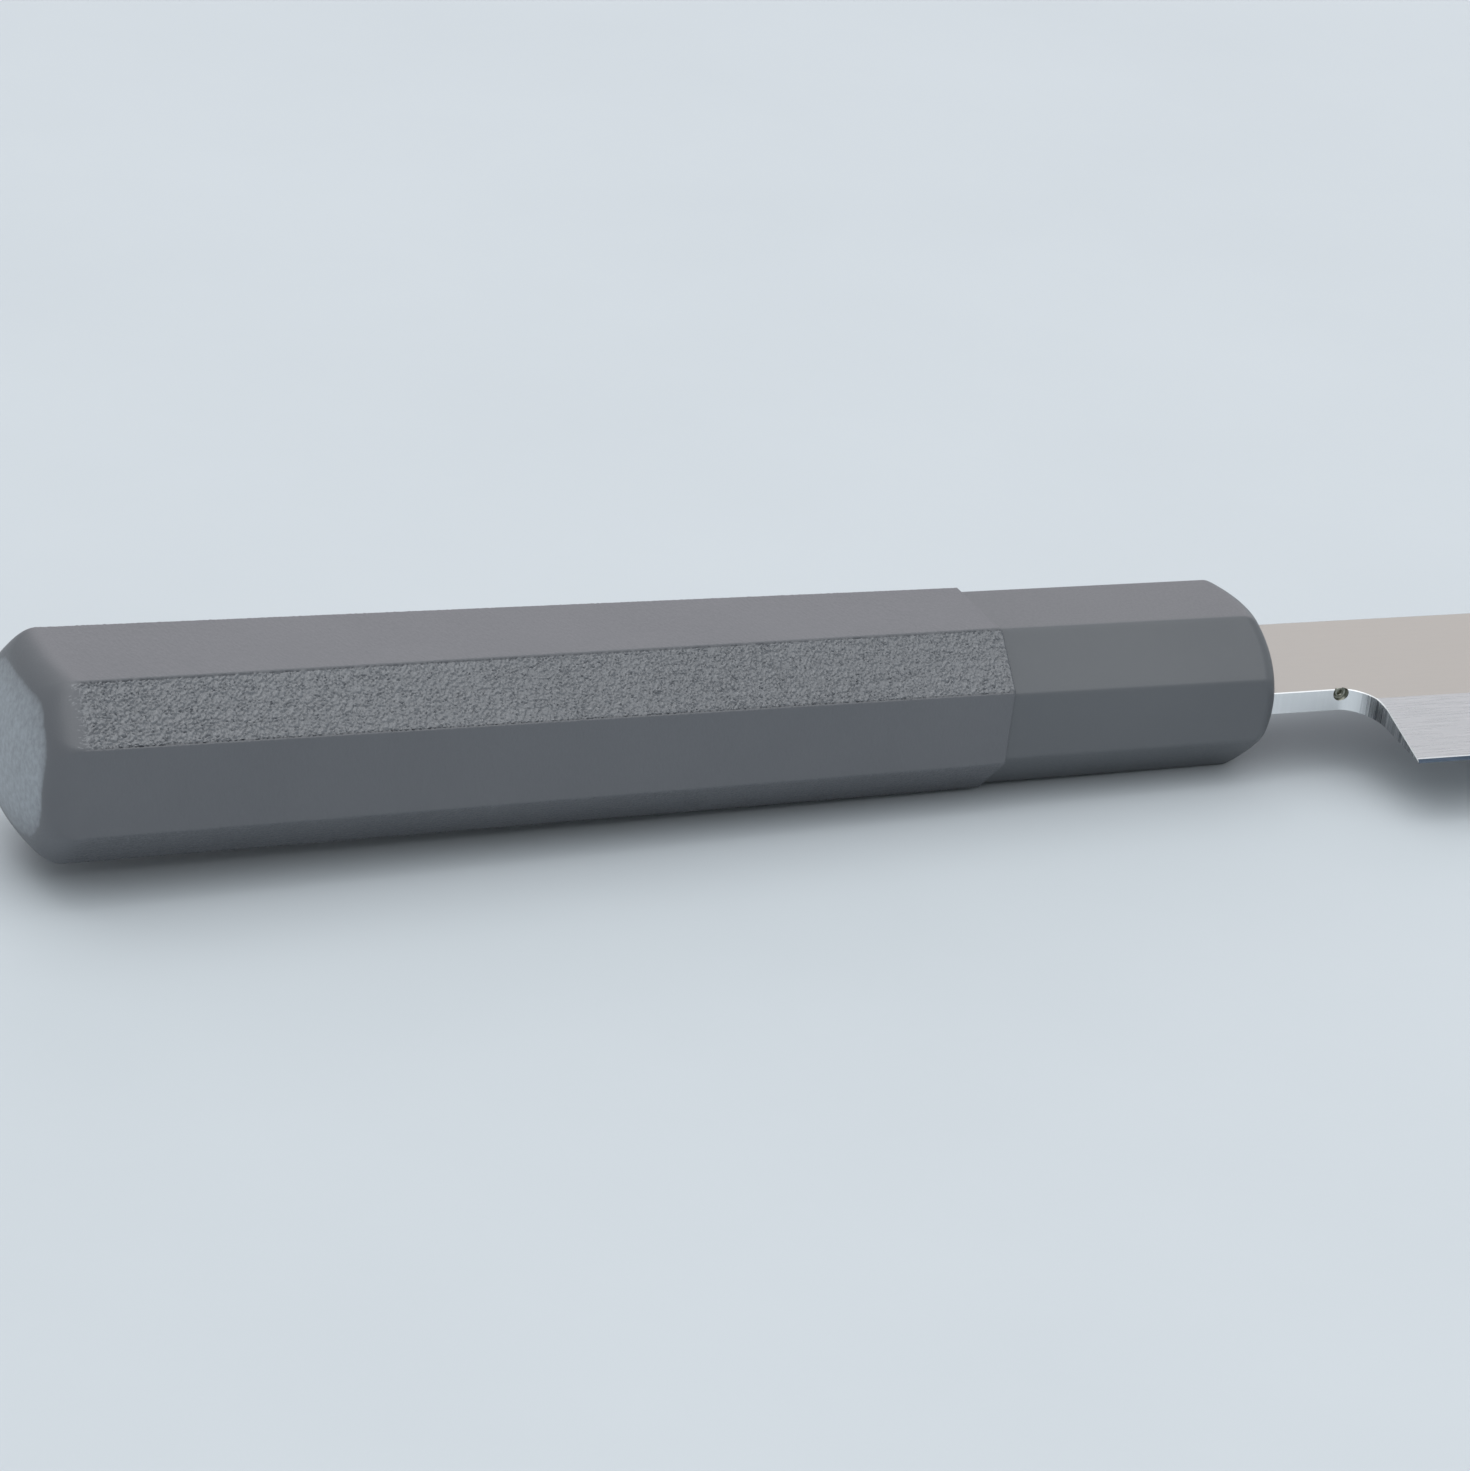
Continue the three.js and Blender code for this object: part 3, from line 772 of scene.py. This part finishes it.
def resin(name, colours, roughness, gloss, fine_size, microns, with_painted_butt_light=False):
    """Slightly cloudy resin with a fine texture, whose size is in 1/m, and painted light on its rear-facing
    butt if asked.
    """
    material, nodes, links, shader = new_material(name)
    clouds = noise(nodes, links, RESIN_CLOUDS)
    source = painted_butt_light(nodes, links, clouds) if with_painted_butt_light else clouds
    ramp(nodes, links, source, colours, shader.inputs["Base Color"])
    fine = noise(nodes, links, (fine_size, fine_size, fine_size), detail=2.0)
    spread(nodes, links, fine, roughness, shader.inputs["Roughness"])
    shader.inputs["Specular IOR Level"].default_value = gloss
    bump(nodes, links, fine, shader, microns)
    return material


def grip_resin():
    # The third colour is painted light on the rear-facing butt, standing in for light from the left
    colours = ((0.108, 0.113, 0.126), (0.117, 0.122, 0.135), (0.335, 0.365, 0.40))
    return resin("grip_resin", colours, (0.37, 0.47), gloss=0.7, fine_size=5200, microns=10, with_painted_butt_light=True)


def grained_flats_painted_light():
    # Lighter than the rest of the grip: painted light on the up-facing slanted flats; lower roughness and
    # higher gloss are their grained finish
    colours = ((0.142, 0.149, 0.164), (0.157, 0.164, 0.180))
    return resin("grained_flats_painted_light", colours, (0.24, 0.32), gloss=1.0, fine_size=5200, microns=10)


def smooth_resin():
    colours = ((0.094, 0.101, 0.112), (0.102, 0.109, 0.120))
    return resin("smooth_resin", colours, (0.38, 0.46), gloss=0.7, fine_size=3500, microns=3)


def steel(name, colours, roughness, stretch, microns):
    """Steel with lines ground into it, whose size along each axis is in 1/m."""
    material, nodes, links, shader = new_material(name)
    shader.inputs["Metallic"].default_value = 1.0
    lines = noise(nodes, links, stretch, detail=5.0, roughness=0.6)
    ramp(nodes, links, lines, colours, shader.inputs["Base Color"])
    spread(nodes, links, lines, roughness, shader.inputs["Roughness"])
    bump(nodes, links, lines, shader, microns)
    return material


def blade_materials():
    """One steel for each finish, in the order of the finishes from FLAT to BROKEN."""
    return [
        steel(
            "satin_flat", colours=((0.415, 0.404, 0.368), (0.45, 0.438, 0.40)),
            roughness=(0.34, 0.42), stretch=(300, 2500, 2500), microns=1.5,
        ),
        steel(
            "brushed_bevel", colours=((0.58, 0.57, 0.585), (0.66, 0.65, 0.665)),
            roughness=(0.24, 0.34), stretch=(180, 5200, 5200), microns=6,
        ),
        # Dark navy colour: a painted reflection of dark bluish surroundings on the fine bevel
        steel(
            "fine_bevel_painted_reflection", colours=((0.12, 0.16, 0.22), (0.16, 0.20, 0.27)),
            roughness=(0.14, 0.2), stretch=(600, 3000, 3000), microns=2,
        ),
        steel(
            "polished_neck", colours=((0.78, 0.79, 0.80), (0.84, 0.85, 0.86)),
            roughness=(0.12, 0.2), stretch=(2600, 2600, 60), microns=4,
        ),
        steel(
            "ground_back", colours=((0.60, 0.60, 0.60), (0.66, 0.66, 0.66)),
            roughness=(0.22, 0.3), stretch=(4200, 160, 4200), microns=2,
        ),
        steel(
            "pit_wall", colours=((0.24, 0.245, 0.21), (0.40, 0.405, 0.35)),
            roughness=(0.3, 0.4), stretch=(3000, 3000, 3000), microns=4,
        ),
        # The choil's ground lines, with light and dark bands in the colour that are painted reflections
        steel(
            "ground_choil_painted_reflections", colours=((0.36, 0.38, 0.40), (0.96, 0.97, 0.98)),
            roughness=(0.2, 0.3), stretch=(3300, 3300, 50), microns=20,
        ),
        steel(
            "broken_edge", colours=((0.80, 0.81, 0.82), (0.86, 0.87, 0.88)),
            roughness=(0.38, 0.46), stretch=(2000, 2000, 2000), microns=2,
        ),
    ]


def cured_adhesive():
    material, nodes, links, shader = new_material("cured_adhesive")
    clouds = noise(nodes, links, ADHESIVE_CLOUDS)
    ramp(nodes, links, clouds, ((0.55, 0.48, 0.28), (0.66, 0.58, 0.36)), shader.inputs["Base Color"])
    shader.inputs["Roughness"].default_value = 0.35
    return material


def pale_floor():
    material, nodes, links, shader = new_material("pale_floor")
    clouds = noise(nodes, links, FLOOR_CLOUDS, detail=6.0)
    colours = ((0.608, 0.648, 0.682), (0.637, 0.677, 0.711))
    ramp(nodes, links, clouds, colours, shader.inputs["Base Color"], FLOOR_CLOUD_RANGE)
    shader.inputs["Roughness"].default_value = 0.6
    shader.inputs["Specular IOR Level"].default_value = 0.2
    return material


# Pieces
def place(piece, node):
    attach(piece, "root")
    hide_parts(node)


place(make_grip([grip_resin(), grained_flats_painted_light()]), "grip")
place(make_ferrule(smooth_resin()), "ferrule")
place(make_blade(blade_materials()), "blade")
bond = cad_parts["tang_bond"]
bond.data.materials.clear()
bond.data.materials.append(cured_adhesive())


# Floor
def node_points(name):
    """Places of all vertices of a node of the frame."""
    return [vertex.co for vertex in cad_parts[name].data.vertices]


def make_floor(material):
    """Plane that the knife rests on with its tip and the lower front edge of its handle."""
    tip_points = [co for co in node_points("blade") if co.x > blade_high.x - MM]
    tip = min(tip_points, key=lambda co: co.z)
    handle = node_points("ferrule") + node_points("grip")
    slope = max((tip.z - co.z) / (tip.x - co.x) for co in handle)
    ends = (-FLOOR_REACH, FLOOR_REACH)
    corners = [(x, y, tip.z + slope * (x - tip.x)) for x, y in itertools.product(ends, ends)]
    mesh = bpy.data.meshes.new("floor")
    mesh.from_pydata(corners, [], [(0, 2, 3, 1)])
    mesh.materials.append(material)
    floor = bpy.data.objects.new("floor", mesh)
    bpy.context.scene.collection.objects.link(floor)


make_floor(pale_floor())


# Light
def direction(azimuth, elevation):
    """Unit vector at an azimuth from +Y towards +X and an elevation above level, both in degrees."""
    around = math.radians(azimuth)
    upward = math.radians(elevation)
    level = math.cos(upward)
    return Vector((math.sin(around) * level, math.cos(around) * level, math.sin(upward)))


def area_light(name, azimuth, elevation, distance, size, strength, colour):
    """Soft panel that faces the middle of the knife, unseen by the camera; strength is its radiance."""
    away = direction(azimuth, elevation)
    data = bpy.data.lights.new(name, "AREA")
    data.shape = "RECTANGLE"
    data.size, data.size_y = size
    data.color = colour
    data.energy = strength * math.pi * size[0] * size[1]
    lamp = bpy.data.objects.new(name, data)
    lamp.location = away * distance
    lamp.rotation_mode = "QUATERNION"
    lamp.rotation_quaternion = (-away).to_track_quat("-Z", "Y")
    lamp.visible_camera = False
    bpy.context.scene.collection.objects.link(lamp)


area_light(
    "key", azimuth=-30, elevation=68, distance=1.3,
    size=(1.2, 1.2), strength=1.0, colour=(1.0, 1.0, 1.0),
)
area_light(
    "front_top", azimuth=175, elevation=67, distance=1.3,
    size=(2.8, 1.5), strength=0.9, colour=(0.98, 0.99, 1.0),
)
area_light(
    "far_panel", azimuth=26, elevation=22, distance=1.6,
    size=(1.6, 0.75), strength=0.82, colour=(1.0, 0.88, 0.94),
)
area_light(
    "far_high", azimuth=34, elevation=46, distance=1.6,
    size=(1.4, 0.5), strength=0.32, colour=(0.94, 1.0, 1.0),
)


def make_world():
    """Even fill from all round."""
    world = bpy.data.worlds.new("studio")
    bpy.context.scene.world = world
    world.use_nodes = True
    fill = world.node_tree.nodes["Background"]
    fill.inputs["Color"].default_value = FILL_COLOUR
    fill.inputs["Strength"].default_value = FILL_STRENGTH


make_world()


# Camera
def make_camera():
    """Camera at the photograph's view."""
    ahead = direction(CAMERA_AZIMUTH, -CAMERA_ELEVATION)
    level_right = ahead.cross(Vector((0, 0, 1))).normalized()
    right = Matrix.Rotation(-math.radians(CAMERA_ROLL), 3, ahead) @ level_right
    up = right.cross(ahead)
    from_axis = -ahead * CAMERA_DISTANCE - right * CAMERA_ASIDE[0] - up * CAMERA_ASIDE[1]
    data = bpy.data.cameras.new("camera")
    data.sensor_width = SENSOR_MM
    data.lens = SENSOR_MM * FOCAL_PIXELS / IMAGE_LONG_SIDE
    camera = bpy.data.objects.new("camera", data)
    basis = Matrix((right, up, -ahead)).transposed().to_4x4()
    camera.matrix_world = Matrix.Translation(AXIS + from_axis * MM) @ basis
    bpy.context.scene.collection.objects.link(camera)
    bpy.context.scene.camera = camera


make_camera()
bpy.context.scene.view_settings.view_transform = "Standard"
